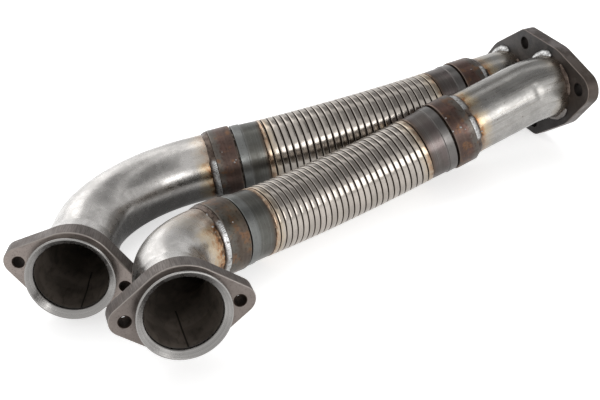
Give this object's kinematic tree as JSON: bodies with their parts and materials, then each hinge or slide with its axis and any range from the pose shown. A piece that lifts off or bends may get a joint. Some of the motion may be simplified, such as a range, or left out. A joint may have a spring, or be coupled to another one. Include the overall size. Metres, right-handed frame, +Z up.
{
  "type": "exhaust pipe",
  "caption": "Twin flexible exhaust front pipe: two bent inlet tubes with oval bolt flanges, interlocked hose sections and outlet tubes that share one rear flange.",
  "frame": {"origin": "middle of the outlet flange's mating face, between its two ports", "axes": "+Z up as the loose pipe lies on level ground, +Y out of the outlet flange level with the ground, +X towards the side that the inlets turn to"},
  "size_m": [0.3082, 0.5897, 0.1098],
  "materials": {
    "tube": "satin drawn steel, straw, brown and blue heat tint beside the welds",
    "hose": "bright rolled strip with dark grooves and a straw tint at each end",
    "collar": "pressed steel with green-grey and purple heat tint",
    "sleeve": "turned steel heated to maroon brown",
    "weld": "bare rippled weld metal",
    "inlet_flange": "brown-grey steel, grained edges",
    "outlet_flange": "black and brown scale with worn edges"
  },
  "bodies": {
    "root": {"outlet_flange": "outlet_flange", "right_inlet_tube": "tube", "right_inlet_flange": "inlet_flange", "right_inlet_flange_weld": "weld", "right_inlet_sleeve": "sleeve", "right_inlet_weld": "weld", "right_inlet_collar": "collar", "right_hose": "hose", "right_outlet_collar": "collar", "right_outlet_sleeve": "sleeve", "right_outlet_weld": "weld", "right_outlet_tube": "tube", "right_outlet_flange_weld": "weld", "left_inlet_tube": "tube", "left_inlet_flange": "inlet_flange", "left_inlet_flange_weld": "weld", "left_inlet_sleeve": "sleeve", "left_inlet_weld": "weld", "left_inlet_collar": "collar", "left_hose": "hose", "left_outlet_collar": "collar", "left_outlet_sleeve": "sleeve", "left_outlet_weld": "weld", "left_outlet_tube": "tube", "left_outlet_flange_weld": "weld"}
  },
  "joints": []
}
